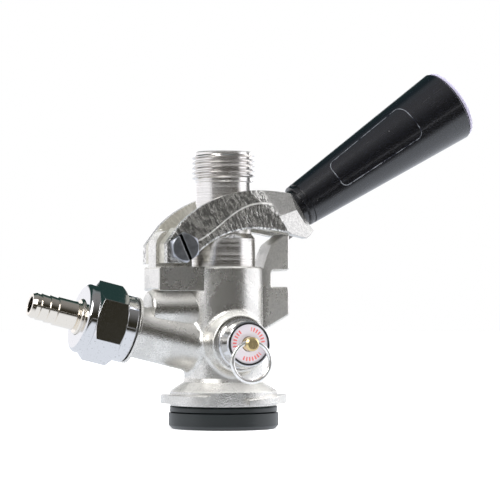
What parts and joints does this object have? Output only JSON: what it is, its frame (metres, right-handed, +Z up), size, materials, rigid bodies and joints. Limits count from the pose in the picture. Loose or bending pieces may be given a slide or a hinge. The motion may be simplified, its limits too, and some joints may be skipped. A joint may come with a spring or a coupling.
{
  "type": "keg coupler",
  "caption": "Lever-operated beer keg coupler: bayonet body with rubber foot seal, sliding threaded probe, barbed gas inlet and pull-ring relief valve.",
  "frame": {"origin": "on the probe axis at the underside of the foot seal", "axes": "+Z up along the probe, +X the way the handle leans, -Y the side of the relief valve"},
  "size_m": [0.1708, 0.0538, 0.1316],
  "materials": {
    "satin_nickel": "satin nickel plate over a casting",
    "chrome": "polished chrome",
    "black_rubber": "moulded rubber",
    "steel": "turned steel",
    "black_grip": "glossy moulding",
    "pale_cap": "glossy moulding",
    "black_plastic": "matt moulding",
    "label_plastic": "printed disc",
    "brass": "turned brass",
    "ball_plastic": "moulded ball"
  },
  "bodies": {
    "coupler": {"coupler_body": "satin_nickel", "body_seal": "black_rubber", "pivot_bolt": "steel", "pivot_nut": "steel", "gas_nut": "chrome", "gas_tailpiece": "chrome", "tailpiece_washer": "black_rubber", "gas_check_valve": "black_rubber", "relief_sleeve": "chrome", "relief_o_ring": "black_rubber", "relief_insert": "black_plastic", "relief_label": "label_plastic", "relief_spring": "steel"},
    "probe_tube": {"probe": "chrome", "probe_o_rings": "black_rubber", "probe_seal": "black_rubber", "ball_retainer": "black_plastic"},
    "beer_ball": {"check_ball": "ball_plastic"},
    "lever": {"lever_yoke": "satin_nickel", "drive_pins": "steel", "spring_plug": "steel", "latch_spring": "steel"},
    "latch": {"latch_bolt": "steel", "rod_nut": "steel"},
    "handle": {"grip": "black_grip", "grip_cap": "pale_cap"},
    "relief_plunger": {"relief_stem": "brass", "relief_seal": "black_rubber"},
    "pull_ring": {"relief_ring": "steel"}
  },
  "joints": [
    {"name": "lever_hinge", "type": "hinge", "parent": "coupler", "child": "lever", "pos_m": [-0.0203, 0, 0.0649], "axis": [0, 1, 0], "range_deg": [0, 28.6]},
    {"name": "probe_slide", "type": "slide", "parent": "coupler", "child": "probe_tube", "axis": [0, 0, -1], "range_m": [0, 0.01037]},
    {"name": "ball_lift", "type": "slide", "parent": "probe_tube", "child": "beer_ball", "axis": [0, 0, 1], "range_m": [0, 0.0035]},
    {"name": "latch_slide", "type": "slide", "parent": "lever", "child": "latch", "axis": [-0.8396, 0, -0.5432], "range_m": [0, 0.0065], "deforming": ["latch_spring"]},
    {"name": "grip_pull", "type": "slide", "parent": "lever", "child": "handle", "axis": [-0.8396, 0, -0.5432], "range_m": [-0.0065, 0]},
    {"name": "relief_pull", "type": "slide", "parent": "coupler", "child": "relief_plunger", "axis": [0, -1, 0], "range_m": [0, 0.003], "stiffness_N_per_m": 400, "deforming": ["relief_spring"]},
    {"name": "ring_swing", "type": "hinge", "parent": "relief_plunger", "child": "pull_ring", "pos_m": [0, -0.0293, 0.03135], "axis": [-1, 0, 0], "range_deg": [0, 90]}
  ],
  "couplings": [
    {"joint": "probe_slide", "follows": "lever_hinge", "m_per_rad": 0.020775}
  ]
}
